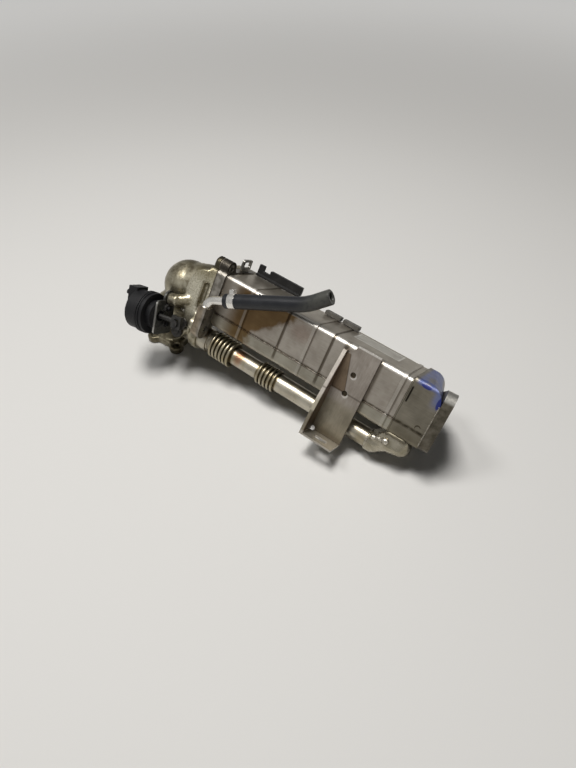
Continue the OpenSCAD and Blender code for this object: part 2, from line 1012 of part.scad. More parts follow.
module coolant_inlet_pipe() {
  color([0.7, 0.7, 0.68])
    in_casing()
      translate([pipe_x, pipe_y, block_top - 9])
        rotate([180, -90, 0])
          difference() {
            bent_bar(9, pipe_bend_r, pipe_turn, hose_free + hose_grip, pipe_r, 0);
            bent_bar(9, pipe_bend_r, pipe_turn, hose_free + hose_grip, pipe_r - pipe_wall, 1);
          }
}

module coolant_hose() {
  color([0.08, 0.08, 0.09])
    in_casing()
      in_hose()
        difference() {
          bent_bar(hose_straight, hose_bend_r, hose_bend, hose_tail, hose_r, 0);
          bent_bar(hose_straight, hose_bend_r, hose_bend, hose_tail, pipe_r + fit, 1);
        }
}

module hose_clamp() {
  color([0.75, 0.75, 0.75])
    in_casing()
      in_hose()
        difference() {
          union() {
            rod_x(7, clamp_w, hose_r + 0.9, 0, 0);
            for (y = [-4.5, 1.5])
              translate([8.5, y, hose_r - 1])
                cube([clamp_w - 3, 1.2, 6]);
          }
          rod_x(0, 40, hose_r + 0.05, 0, 0);
        }
}

module coolant_outlet_pipe() {
  color([0.7, 0.7, 0.68])
    in_casing()
      difference() {
        union() {
          rod_y(cs - sheet_t - 2, 32, pipe_r, 0.87 * casing_len, -mid);
          rod_y(cs, 2, pipe_r + 2.5, 0.87 * casing_len, -mid);
          rod_y(cs + 24, 2.5, pipe_r + 0.7, 0.87 * casing_len, -mid);
        }
        rod_y(cs - 10, 60, pipe_r - pipe_wall, 0.87 * casing_len, -mid);
      }
}

// Cheek of the bracket, its reach at the top and in the middle, and its folded lip
cheek_top = 6.5;
cheek_mid = 22;
lip_w = 2;
foot_z = -foot_depth - bracket_t;

module mount_bracket() {
  color([0.52, 0.48, 0.44])
    in_casing()
      difference() {
        union() {
          along_y(-bracket_t, bracket_t)
            polygon([[bracket_x, -foot_depth], [bracket_x + bracket_w, -foot_depth],
              [bracket_x + bracket_w, 2], [bracket_x + 12, 2], [bracket_x + 8, -7],
              [bracket_x, -13]]);
          translate([bracket_x, 0, 0])
            rotate([90, 0, 90])
              linear_extrude(bracket_t)
                polygon([[0, foot_z], [-foot_reach, foot_z], [-cheek_mid, -68], [-cheek_top, -8], [0, -8]]);
          translate([bracket_x - lip_w, 0, 0])
            rotate([90, 0, 90])
              linear_extrude(lip_w + bracket_t)
                polygon([[-foot_reach + bracket_t, foot_z], [-foot_reach, foot_z], [-cheek_mid, -68],
                  [-cheek_top, -8], [-cheek_top + bracket_t, -8], [-cheek_mid + bracket_t, -68]]);
          translate([bracket_x, -foot_reach, foot_z])
            cube([bracket_w, foot_reach, bracket_t]);
        }
        for (z = [-30.4, -54.3])
          rod_y(-10, 20, bracket_hole_r, bracket_x + 20, z);
        translate([bracket_x + 3, -3, -foot_depth])
          sphere(4);
        translate([0, 0, foot_z - 1]) {
          translate([bracket_x + 17, -foot_reach / 2 - 2, 0])
            cylinder(r = bracket_hole_r, h = 6);
          translate([bracket_x + 27, -foot_reach / 2 - 2, 0])
            cylinder(r = bracket_hole_r, h = 6);
          translate([bracket_x + 17, -foot_reach / 2 - 2 - bracket_hole_r, 0])
            cube([10, 2 * bracket_hole_r, 6]);
        }
      }
}

module harness_eye() {
  color([0.5, 0.5, 0.46])
    in_casing()
      along_x(header_x - 5, 3)
        difference() {
          translate([44, 9])
            rr(20, 16, 3);
          translate([44, 10.5])
            rr(13, 7, 2);
        }
}

module cable_clip() {
  color([0.07, 0.07, 0.07])
    in_casing() {
      translate([-2, cs - 10, bead_h + fit])
        cube([68, 6, 4 - bead_h]);
      translate([-2, cs - 8, 3])
        cube([24, 5, 6]);
      translate([16, cs - 8, 3])
        cube([50, 6, 11]);
      translate([-2, cs - 8, 3])
        cube([8, 5, 13]);
    }
}

module edge_pads() {
  color([0.3, 0.29, 0.27])
    in_casing()
      for (x = [0.432, 0.535])
        translate([x * casing_len, cs - 14, bead_h + fit])
          cube([23, 9, 5]);
}

module edge_tab() {
  color([0.25, 0.24, 0.22])
    in_casing()
      translate([0.175 * casing_len, -1, -13])
        cube([9, 1, 11]);
}

upper_shell();
lower_shell();
rear_header();
front_header();
gas_tubes();
cooler_flange();
housing_gasket();
valve_housing();
housing_bolts();
flap_shaft();
bypass_flap();
flap_screws();
shaft_bushes();
flap_lever();
lever_pin();
actuator_rod();
diaphragm_plate();
diaphragm();
return_spring();
actuator_cup();
actuator_cover();
actuator_plate();
actuator_nuts();
plate_bolt();
bypass_tube();
bypass_sleeve();
outlet_hood();
bypass_collector();
outlet_flange();
coolant_inlet_pipe();
coolant_hose();
hose_clamp();
coolant_outlet_pipe();
mount_bracket();
harness_eye();
cable_clip();
edge_pads();
edge_tab();
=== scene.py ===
"""Looks of the exhaust gas cooler: materials, soft castings, welds, hose, stains, light and camera."""

import json
import math
import random

import bpy
from mathutils import Euler, Matrix, Vector


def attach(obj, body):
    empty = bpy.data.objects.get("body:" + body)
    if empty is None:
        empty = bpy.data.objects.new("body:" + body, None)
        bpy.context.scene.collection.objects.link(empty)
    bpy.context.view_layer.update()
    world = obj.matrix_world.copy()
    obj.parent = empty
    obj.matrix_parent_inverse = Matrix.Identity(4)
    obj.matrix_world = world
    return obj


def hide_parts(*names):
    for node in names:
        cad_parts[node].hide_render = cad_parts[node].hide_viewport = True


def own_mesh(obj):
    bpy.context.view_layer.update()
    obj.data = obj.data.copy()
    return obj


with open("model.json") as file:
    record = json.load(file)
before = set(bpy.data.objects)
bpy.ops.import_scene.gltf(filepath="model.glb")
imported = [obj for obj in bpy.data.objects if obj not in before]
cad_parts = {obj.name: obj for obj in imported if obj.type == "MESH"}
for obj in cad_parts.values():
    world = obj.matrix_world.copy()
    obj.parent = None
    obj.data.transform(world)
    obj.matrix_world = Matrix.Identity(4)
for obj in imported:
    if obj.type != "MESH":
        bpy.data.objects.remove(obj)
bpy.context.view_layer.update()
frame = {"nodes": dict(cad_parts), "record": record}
NODES = frame["nodes"]
MM = 0.001

# The casing's own axes in the row frame: x along the casing toward the outlet, y from the front wall back,
# z up from the top wall
CASING_AT = Vector((0.108, 0.011, 0.1415))
CASING_TURN = Euler((math.radians(-30.0), math.radians(6.7), 0.0))
CASING = Matrix.Translation(CASING_AT) @ CASING_TURN.to_matrix().to_4x4()


def in_casing(point):
    """A point of the casing's axes, in millimetres, in the row frame."""
    return CASING @ (Vector(point) * MM)


def show(obj):
    """Put an object into the scene."""
    bpy.context.scene.collection.objects.link(obj)
    return obj


# Camera

CAMERA_FROM_CASING = Vector((0.3846, -0.4166, 0.3841))
LOOK_ALONG = Vector((-0.585, 0.811, 0.0)).normalized()
LOOK_DOWN = math.radians(45.3)
FOCAL_PX, LONG_SIDE_PX, SENSOR_MM = 555.0, 768.0, 36.0
NEAR_CLIP, FAR_CLIP = 0.01, 20.0


def photo_camera():
    data = bpy.data.cameras.new("camera")
    data.sensor_width = SENSOR_MM
    data.lens = FOCAL_PX / LONG_SIDE_PX * SENSOR_MM
    data.clip_start = NEAR_CLIP
    data.clip_end = FAR_CLIP
    camera = show(bpy.data.objects.new("camera", data))
    camera.location = CASING_AT + CAMERA_FROM_CASING
    look = LOOK_ALONG * math.cos(LOOK_DOWN) - Vector((0, 0, math.sin(LOOK_DOWN)))
    camera.rotation_euler = look.to_track_quat("-Z", "Y").to_euler()
    bpy.context.scene.camera = camera


photo_camera()
bpy.context.scene.view_settings.view_transform = "Standard"


# Materials

class Nodes:
    """A material and short calls to add its nodes. Lengths are millimetres in the casing's axes."""

    def __init__(self, name):
        self.mat = bpy.data.materials.new(name)
        self.mat.use_nodes = True
        self.tree = self.mat.node_tree
        self.bsdf = self.tree.nodes["Principled BSDF"]
        coords = self.add("ShaderNodeTexCoord")
        place = self.add("ShaderNodeMapping", vector_type="TEXTURE")
        place.inputs["Location"].default_value = CASING_AT
        place.inputs["Rotation"].default_value = CASING_TURN
        place.inputs["Scale"].default_value = (MM, MM, MM)
        self.link(coords.outputs["Object"], place.inputs["Vector"])
        self.mm = place.outputs["Vector"]
        split = self.add("ShaderNodeSeparateXYZ")
        self.link(self.mm, split.inputs["Vector"])
        self.x, self.y, self.z = (split.outputs[axis] for axis in "XYZ")

    def add(self, kind, **values):
        node = self.tree.nodes.new(kind)
        for key, value in values.items():
            setattr(node, key, value)
        return node

    def link(self, a, b):
        self.tree.links.new(a, b)

    def put(self, value, socket):
        """A number or colour onto a socket, or a link to it."""
        if isinstance(value, tuple):
            socket.default_value = (*value, 1.0)
        elif isinstance(value, (int, float)):
            socket.default_value = value
        else:
            self.link(value, socket)

    def stretched(self, scale):
        node = self.add("ShaderNodeMapping")
        node.inputs["Scale"].default_value = scale
        self.link(self.mm, node.inputs["Vector"])
        return node.outputs["Vector"]

    def noise(self, scale, detail=4.0, rough=0.55, vector=None):
        node = self.add("ShaderNodeTexNoise")
        node.inputs["Scale"].default_value = scale
        node.inputs["Detail"].default_value = detail
        node.inputs["Roughness"].default_value = rough
        self.link(vector or self.mm, node.inputs["Vector"])
        return node.outputs["Fac"]

    def ramp(self, value, low, high, out_low=0.0, out_high=1.0, kind="SMOOTHSTEP"):
        node = self.add("ShaderNodeMapRange", interpolation_type=kind)
        node.inputs["From Min"].default_value = low
        node.inputs["From Max"].default_value = high
        node.inputs["To Min"].default_value = out_low
        node.inputs["To Max"].default_value = out_high
        self.link(value, node.inputs["Value"])
        return node.outputs["Result"]

    def math(self, op, a, b=0.0):
        node = self.add("ShaderNodeMath", operation=op)
        self.put(a, node.inputs[0])
        self.put(b, node.inputs[1])
        return node.outputs["Value"]

    def both(self, *masks):
        product = masks[0]
        for mask in masks[1:]:
            product = self.math("MULTIPLY", product, mask)
        return product

    def mix(self, fac, a, b, blend="MIX"):
        node = self.add("ShaderNodeMix", data_type="RGBA", blend_type=blend)
        for value, socket in ((fac, "Factor"), (a, "A"), (b, "B")):
            self.put(value, node.inputs[socket])
        return node.outputs["Result"]

    def clouds(self, dark, light, noise, spread=(0.3, 0.7)):
        """Start the colour as two tones that follow a noise."""
        self.shade = self.mix(self.ramp(noise, *spread), dark, light)

    def tint(self, mask, colour, strength=1.0):
        """Multiply the colour so far by another where the mask is."""
        self.shade = self.mix(self.math("MULTIPLY", mask, strength), self.shade, colour, "MULTIPLY")

    def cover(self, mask, colour, strength=1.0):
        """Lay another colour over the one so far where the mask is."""
        self.shade = self.mix(self.math("MULTIPLY", mask, strength), self.shade, colour)

    def line(self, coordinate, at, half, soft):
        """1 on a line across the given coordinate, 0 away from it."""
        away = self.math("ABSOLUTE", self.math("SUBTRACT", coordinate, at))
        return self.ramp(away, half + soft, half)

    def span(self, coordinate, low, high, soft):
        """1 between two places of a coordinate, 0 outside them."""
        return self.both(self.ramp(coordinate, low - soft, low), self.ramp(coordinate, high + soft, high))

    def patch(self, centre, radii, ragged=0.3, grain=0.12, soft=0.4):
        """A soft uneven blot around a point: 1 inside, 0 outside."""
        shift = self.add("ShaderNodeMapping", vector_type="TEXTURE")
        shift.inputs["Location"].default_value = centre
        shift.inputs["Scale"].default_value = radii
        self.link(self.mm, shift.inputs["Vector"])
        length = self.add("ShaderNodeVectorMath", operation="LENGTH")
        self.link(shift.outputs["Vector"], length.inputs[0])
        uneven = self.math("MULTIPLY", self.math("SUBTRACT", self.noise(grain), 0.5), 2 * ragged)
        return self.ramp(self.math("ADD", length.outputs["Value"], uneven), 1.0, 1.0 - soft)

    def bump(self, height, distance, strength=0.5):
        node = self.add("ShaderNodeBump")
        node.inputs["Strength"].default_value = strength
        node.inputs["Distance"].default_value = distance
        self.link(height, node.inputs["Height"])
        self.link(node.outputs["Normal"], self.bsdf.inputs["Normal"])

    def finish(self, colour, rough, metallic, specular=None):
        self.put(colour, self.bsdf.inputs["Base Color"])
        self.put(rough, self.bsdf.inputs["Roughness"])
        self.put(metallic, self.bsdf.inputs["Metallic"])
        if specular is not None:
            self.bsdf.inputs["Specular IOR Level"].default_value = specular
        return self.mat


class Sheet(Nodes):
    """Satin steel sheet, brushed along the casing, with a cloudy tone."""

    def __init__(self, name, dark, light, brush=(0.02, 0.6, 0.6)):
        super().__init__(name)
        self.lines = self.noise(2.2, 6.0, 0.6, self.stretched(brush))
        cloud = self.noise(0.035, 5.0, 0.6)
        tone = self.math("ADD", self.math("MULTIPLY", cloud, 0.65), self.math("MULTIPLY", self.lines, 0.35))
        self.clouds(dark, light, tone)

    def done(self, rough=(0.3, 0.48), metallic=0.9, bump=0.2):
        blots = self.math("MULTIPLY", self.noise(0.12), 0.5)
        uneven = self.math("ADD", self.math("MULTIPLY", self.lines, 0.5), blots)
        self.bump(self.lines, 0.0001, bump)
        return self.finish(self.shade, self.ramp(uneven, 0.3, 0.7, *rough), metallic)


# Places on the casing that the materials follow
SEAM_Z = -51.0
GROOVES_X = (90.6, 151.0)
BEADS_X = (35.0, 125.0, 241.0)
LABEL_X, LABEL_Y = (162.0, 222.0), (30.0, 58.0)
LABEL_RIM, LABEL_SOFT = 2.0, 0.3
# The heat stain's edge slants from the first of these places on the front wall to the second
STAIN_Z, STAIN_X, STAIN_RAGGED = (-52, 3), (53, 118), 22
BRACKET_X, BRACKET_W = 170.0, 41.0
BRACKET_HOLES_X, BRACKET_HOLES_Z = BRACKET_X + 20, (-30.4, -54.3)
# Front rim of the bracket's cheek: y falls by this share of z, and lies this far forward of the front wall
CHEEK_SLOPE, CHEEK_START = 0.258, 4.43
BYPASS_Y, BYPASS_Z, BYPASS_R = 20.0, -95.0, 11.5
BELLOWS_X = ((0.0, 34.0), (74.0, 103.0))
TUBE_END_X = 234.0
# Middle and half sizes of the two places where the paint ran
PAINT_RUNS = (((266.5, 0, -1.6), (7, 4, 2.6)), ((286, 1, -11), (3, 6, 9)))

BROWN = (0.36, 0.225, 0.08)
# Dark tone of dirt in the seams, and of painted shade in grooves, beside beads, in corners and along edges
DIRT_AND_SHADE = (0.26, 0.23, 0.19)
PAINT, THIN_PAINT, END_PAINT = (0.014, 0.024, 0.17), (0.07, 0.10, 0.27), (0.11, 0.14, 0.30)
# Painted highlight on the bracket's edges
EDGE_HIGHLIGHT = (0.8, 0.77, 0.72)
# Painted shade on the casting's upper side and saddle
PAINTED_SHADE = (0.62, 0.59, 0.5)


def shell_steel():
    n = Sheet("shell_steel", (0.29, 0.255, 0.215), (0.47, 0.43, 0.375))
    front = n.ramp(n.y, 8, 1)
    # Painted shade: the top wall a little darker than the front wall
    n.tint(n.ramp(n.z, -4, -0.3), (0.96, 0.96, 0.92))
    n.tint(n.ramp(n.z, SEAM_Z, SEAM_Z - 3), (0.92, 0.95, 0.9))
    # Heat stain on the rear of the front wall, its edge slanting up toward the outlet
    edge = n.ramp(n.z, *STAIN_Z, *STAIN_X, "LINEAR")
    ragged = n.math("MULTIPLY", n.math("SUBTRACT", n.noise(0.09), 0.5), STAIN_RAGGED)
    stained = n.math("ADD", n.math("SUBTRACT", edge, n.x), ragged)
    n.tint(n.both(front, n.ramp(stained, -2, 9), n.ramp(n.x, 4, 30)), BROWN, 0.92)
    n.tint(n.patch((112, 0, -18), (22, 8, 16), soft=0.8), (0.8, 0.66, 0.62), 0.5)
    # Painted highlight along the corner between the front and top walls
    n.cover(n.both(n.ramp(n.z, -6, -3), n.ramp(n.y, 6, 3)), (0.72, 0.70, 0.66), 0.7)
    # Dirt along the seam. Painted shade in the grooves and beside the beads, with a painted highlight on
    # the beads.
    seam = n.both(n.line(n.z, SEAM_Z, 0.7, 2.4), n.ramp(n.noise(0.16), 0.3, 0.6, 0.35, 1.0))
    n.tint(seam, DIRT_AND_SHADE, 0.9)
    for x in GROOVES_X:
        n.tint(n.both(n.line(n.x, x, 0.9, 1.8), n.ramp(n.z, -68, -60)), DIRT_AND_SHADE, 0.85)
    for x in BEADS_X:
        n.tint(n.line(n.x, x + 3.2, 0.4, 1.0), DIRT_AND_SHADE, 0.55)
        n.cover(n.line(n.x, x, 1.2, 1.0), (0.6, 0.57, 0.52), 0.22)
    # Painted shade along the bracket's edges, behind its holes and at the rear flange
    for x in (BRACKET_X - 1, BRACKET_X + BRACKET_W + 1):
        n.tint(n.both(front, n.line(n.x, x, 1.2, 3.5)), DIRT_AND_SHADE, 0.8)
    for z in BRACKET_HOLES_Z:
        n.tint(n.patch((BRACKET_HOLES_X, 0, z), (6, 6, 6), ragged=0.0), (0.16, 0.14, 0.11))
    n.tint(n.both(front, n.ramp(n.x, 12, -4)), DIRT_AND_SHADE, 0.7)
    # Bare pale field of a label on the top wall, with a worn rim
    on_top = n.ramp(n.z, -0.8, -0.4)
    label = n.both(on_top, n.span(n.x, *LABEL_X, LABEL_SOFT), n.span(n.y, *LABEL_Y, LABEL_SOFT))
    middle = n.both(n.span(n.x, LABEL_X[0] + LABEL_RIM, LABEL_X[1] - LABEL_RIM, LABEL_SOFT),
                    n.span(n.y, LABEL_Y[0] + LABEL_RIM, LABEL_Y[1] - LABEL_RIM, LABEL_SOFT))
    rim = n.math("SUBTRACT", label, n.both(label, middle))
    worn = n.ramp(n.noise(0.15), 0.3, 0.55, 0.2, 1.0)
    n.cover(n.both(label, n.ramp(n.noise(0.1, 5.0), 0.3, 0.55, 0.6, 1.0)), (0.66, 0.65, 0.6), 0.6)
    n.cover(n.both(rim, worn), (0.82, 0.81, 0.76), 0.7)
    return n.done()


def hood_steel():
    n = Sheet("hood_steel", (0.145, 0.13, 0.10), (0.27, 0.245, 0.195))
    front = n.ramp(n.y, 6, 1)
    seam = n.both(front, n.line(n.z, SEAM_Z, 0.6, 2.6), n.ramp(n.noise(0.2), 0.3, 0.6, 0.3, 1.0))
    n.tint(seam, DIRT_AND_SHADE, 0.9)
    # A short dark line, a darker lower part, and a round press mark drawn as a painted shaded crescent on
    # the front wall
    n.tint(n.both(front, n.line(n.x, 254, 0.6, 0.8), n.span(n.z, -26, -9, 2)), (0.08, 0.07, 0.06))
    n.tint(n.both(front, n.ramp(n.z, -40, -66)), (0.8, 0.78, 0.7), 0.7)
    mark_shade = n.math("SUBTRACT", n.patch((278.5, 0, -46.5), (3.6, 3, 3.6), ragged=0.0, soft=0.2),
                  n.patch((279.0, 0, -47.6), (3.4, 3, 3.4), ragged=0.0, soft=0.2))
    n.tint(n.both(front, n.ramp(mark_shade, 0.0, 0.6)), DIRT_AND_SHADE, 0.9)
    # Thin blue paint on the rounded top, partly wiped off, and thick where it ran
    wiped = n.patch((266, 14, -1), (9, 20, 6), ragged=0.3, soft=0.4)
    streaks = n.ramp(n.noise(0.07, 3.0), 0.3, 0.65, 0.65, 1.0)
    left = n.ramp(wiped, 0.0, 1.0, 1.0, 0.25)
    thin = n.both(n.ramp(n.z, -4.5, -1), n.ramp(n.x, 253, 259), streaks, left)
    n.cover(thin, THIN_PAINT, 0.95)
    end = n.both(n.ramp(n.z, -24, -8), n.ramp(n.x, 274, 282))
    n.cover(end, END_PAINT, 0.85)
    painted = n.math("MAXIMUM", thin, end)
    for centre, radii in PAINT_RUNS:
        run = n.patch(centre, radii, ragged=0.2, soft=0.3)
        n.cover(run, PAINT, 0.95)
        painted = n.math("MAXIMUM", painted, run)
    return n.done(rough=(0.34, 0.5), metallic=n.ramp(painted, 0.0, 1.0, 0.9, 0.35))


def bypass_steel():
    n = Sheet("bypass_steel", (0.34, 0.305, 0.235), (0.56, 0.525, 0.44))
    across = n.math("ADD", n.math("POWER", n.math("SUBTRACT", n.y, BYPASS_Y), 2.0),
                    n.math("POWER", n.math("SUBTRACT", n.z, BYPASS_Z), 2.0))
    radius = n.math("SQRT", across)
    # Painted shade in the valleys of the bellows, which are also a little darker all over
    for low, high in BELLOWS_X:
        n.tint(n.both(n.span(n.x, low, high, 2), n.ramp(radius, 15.4, 12.6)), (0.36, 0.31, 0.22), 0.9)
        n.tint(n.span(n.x, low, high, 2), (0.8, 0.77, 0.66), 0.8)
    # Heat blush between the bellows, and tan clouds
    n.tint(n.patch((44, 14, -90), (10, 16, 16), soft=0.7), (0.76, 0.42, 0.28), 0.9)
    n.tint(n.ramp(n.noise(0.06, 3.0), 0.5, 0.7), (0.75, 0.68, 0.5), 0.6)
    return n.done(rough=(0.26, 0.4), metallic=0.9, bump=0.06)


def collector_steel():
    """Thin pressed sheet, crumpled near its welds."""
    n = Nodes("collector_steel")
    n.clouds((0.30, 0.27, 0.20), (0.44, 0.405, 0.325), n.noise(0.06, 4.0, 0.6), (0.35, 0.65))
    n.cover(n.ramp(n.noise(0.05, 3.0), 0.5, 0.68), (0.20, 0.175, 0.115), 0.5)
    crumpled = n.both(n.ramp(n.x, 268, 252), n.ramp(n.z, -90, -84))
    n.bump(n.math("MULTIPLY", n.noise(0.16, 2.0), crumpled), 0.003, 0.4)
    return n.finish(n.shade, n.ramp(n.noise(0.1), 0.3, 0.7, 0.22, 0.36), 0.92)


def bracket_steel():
    n = Sheet("bracket_steel", (0.27, 0.235, 0.20), (0.44, 0.395, 0.35), brush=(0.3, 0.3, 0.05))
    proud = n.ramp(n.y, -2.2, -2.8)
    # Painted highlight on the cheek's rim, and painted brown shade on its inner side
    behind_rim = n.math("ADD", n.math("SUBTRACT", n.y, n.math("MULTIPLY", n.z, CHEEK_SLOPE)), CHEEK_START)
    cheek = n.both(proud, n.ramp(n.x, BRACKET_X + 3.4, BRACKET_X + 2.8))
    n.cover(n.both(cheek, n.ramp(behind_rim, 2.5, 2.0)), (0.74, 0.68, 0.61), 0.8)
    inner_side = n.both(cheek, n.ramp(n.x, BRACKET_X + 1.2, BRACKET_X + 2.0), n.ramp(behind_rim, 2.2, 2.8))
    n.tint(inner_side, (0.42, 0.31, 0.22), 0.9)
    # Painted brown shade in the corner between the cheek and the web, wider toward the bend line, with a
    # darker line along it
    corner = n.math("ADD", n.x, n.math("MULTIPLY", n.z, 0.28))
    on_web = n.both(n.ramp(n.y, -3.0, -2.5), n.span(n.z, -53, -11, 1.5))
    n.tint(n.both(n.ramp(corner, BRACKET_X + 5.4, BRACKET_X + 3.8), on_web), (0.5, 0.4, 0.29), 0.9)
    n.tint(n.both(n.line(corner, BRACKET_X + 4.6, 0.3, 0.6), on_web), DIRT_AND_SHADE, 0.6)
    # Painted highlight on the lower rims of the holes and on the top edge
    for z in BRACKET_HOLES_Z:
        rim = n.patch((BRACKET_HOLES_X + 1.2, -1, z - 1.6), (4.4, 6, 4.4), ragged=0.05, soft=0.25)
        n.cover(n.both(rim, n.ramp(n.y, -1.4, -2.0)), EDGE_HIGHLIGHT, 0.6)
    n.cover(n.ramp(n.z, -0.5, 1.0), EDGE_HIGHLIGHT, 0.8)
    # Painted shade along the bend line and on the lower web, a lighter foot, and darker in its corner
    n.tint(n.line(n.z, -53.5, 0.3, 1.3), DIRT_AND_SHADE, 0.6)
    n.tint(n.span(n.z, -106, -74, 16), (0.72, 0.72, 0.6), 0.8)
    n.cover(n.both(proud, n.ramp(n.z, -108, -111)), (0.56, 0.53, 0.47), 0.6)
    n.tint(n.both(n.ramp(n.y, -5.0, -2.3), n.ramp(n.z, -100, -110)), DIRT_AND_SHADE, 0.7)
    return n.done(rough=(0.36, 0.52), metallic=0.85)


def plain_metal(name, dark, light, rough=(0.3, 0.45), grain=0.25, metallic=0.95, bump=0.15):
    n = Nodes(name)
    if bump:
        n.bump(n.noise(grain * 6), 0.0002, bump)
    n.clouds(dark, light, n.noise(grain, 5.0, 0.6))
    return n.finish(n.shade, n.ramp(n.noise(grain * 3), 0.3, 0.7, *rough), metallic)


def casting():
    """Raw nickel-rich casting: olive and cream clouds, dull in the hollows, fine sand skin."""
    n = Nodes("casting")
    fine = n.noise(0.3, 6.0, 0.65)
    n.clouds((0.21, 0.185, 0.125), (0.46, 0.425, 0.325), n.noise(0.045, 4.0, 0.6), (0.35, 0.65))
    n.cover(n.ramp(fine, 0.5, 0.75), (0.6, 0.56, 0.44), 0.45)
    n.cover(n.ramp(n.noise(0.11), 0.52, 0.68), (0.13, 0.105, 0.06), 0.65)
    # Grainy near wall, painted lighter where it faces the light
    wall = n.both(n.ramp(n.y, 8, -2), n.ramp(n.x, -62, -46), n.ramp(n.z, -74, -60))
    lit_grain = n.mix(n.ramp(n.noise(0.5, 5.0, 0.7), 0.35, 0.65), (0.5, 0.46, 0.33), (0.92, 0.88, 0.74))
    n.cover(wall, lit_grain, 0.75)
    # Painted shade on the upper side and the lug, a darker arm of the actuator's holder, and painted shade
    # on the lower dome and the saddle
    n.tint(n.ramp(n.z, -30, -8), PAINTED_SHADE)
    lug = n.both(n.ramp(n.z, -4, 0), n.ramp(n.x, -46, -38), n.ramp(n.y, 36, 28))
    n.tint(lug, (0.2, 0.195, 0.19))
    n.tint(n.patch((-50, -8, -56), (20, 12, 13), ragged=0.1, soft=0.6), (0.6, 0.57, 0.5))
    n.tint(n.patch((-98, 18, -56), (22, 24, 16), ragged=0.25, soft=0.8), (0.6, 0.57, 0.48))
    n.tint(n.patch((-50, 16, -14), (20, 12, 11), ragged=0.2, soft=0.7), PAINTED_SHADE)
    # Darker below the valve and on the gas leg, and painted shade in the hollow of the near wall
    low = n.both(n.ramp(n.z, -62, -92), n.ramp(n.x, -20, -46))
    n.tint(low, (0.3, 0.27, 0.2), 0.6)
    hollow = n.both(n.span(n.x, -32, -25, 2), n.span(n.z, -54, -22, 3), n.ramp(n.y, 4, 1))
    n.tint(hollow, (0.2, 0.17, 0.11), 0.6)
    n.bump(n.noise(0.6, 6.0, 0.65), 0.0003, 0.25)
    return n.finish(n.shade, n.ramp(fine, 0.3, 0.7, 0.26, 0.42), 0.82)


def flange_steel():
    n = Nodes("flange_steel")
    n.clouds((0.17, 0.155, 0.13), (0.39, 0.365, 0.325), n.noise(0.12, 5.0, 0.6))
    # Rear flange: warm coolant block, and painted shade on the lugs' tops
    n.tint(n.both(n.ramp(n.x, -6, -14), n.ramp(n.z, -38, -52)), (0.95, 0.84, 0.7))
    n.tint(n.both(n.ramp(n.x, 0, -8), n.ramp(n.z, -1, 3)), (0.2, 0.19, 0.175))
    # Outlet flange: dark front, a painted highlight on the top and a run of paint
    outlet = n.ramp(n.x, 270, 280)
    n.tint(n.both(outlet, n.ramp(n.y, 12, 2)), (0.42, 0.4, 0.35))
    n.cover(n.both(outlet, n.ramp(n.z, -7, -3)), (0.5, 0.49, 0.46), 0.7)
    n.cover(n.patch((289.5, 3, -9), (3.5, 6, 7), ragged=0.25), PAINT)
    n.bump(n.noise(0.7), 0.0002, 0.15)
    return n.finish(n.shade, n.ramp(n.noise(0.36), 0.3, 0.7, 0.32, 0.5), 0.9)


def plate_steel():
    """Dull dark plate with a bright sheared edge, bare metal with a painted highlight."""
    n = Nodes("plate_steel")
    n.clouds((0.08, 0.08, 0.076), (0.16, 0.16, 0.15), n.noise(0.25, 5.0))
    n.cover(n.ramp(n.y, -30.4, -31.2), (0.5, 0.49, 0.46))
    return n.finish(n.shade, 0.45, 0.8)


def dusty_black(name, base, dust):
    """A black material with thin clouds of dust."""
    n = Nodes(name)
    n.shade = base
    n.cover(n.ramp(n.noise(0.08, 5.0, 0.6), 0.45, 0.8), dust, 0.5)
    return n


def black(name, base, dust, rough=(0.45, 0.6), grain=1.2, bump=0.2, specular=0.2):
    """Black plastic or rubber with a little grey dust."""
    n = dusty_black(name, base, dust)
    n.bump(n.noise(grain * 2), 0.0003, bump)
    return n.finish(n.shade, n.ramp(n.noise(grain), 0.3, 0.7, *rough), 0.0, specular)


def hose_rubber():
    """Smooth blue-black rubber, dusty toward the open end."""
    n = dusty_black("hose_rubber", (0.006, 0.007, 0.010), (0.028, 0.031, 0.035))
    dusty = n.both(n.ramp(n.x, 96, 124), n.ramp(n.noise(0.2, 5.0), 0.25, 0.6, 0.35, 1.0))
    n.cover(dusty, (0.10, 0.10, 0.085), 0.6)
    n.bump(n.noise(1.6), 0.0003, 0.15)
    return n.finish(n.shade, n.ramp(n.noise(0.5), 0.3, 0.7, 0.34, 0.46), 0.0, 0.45)


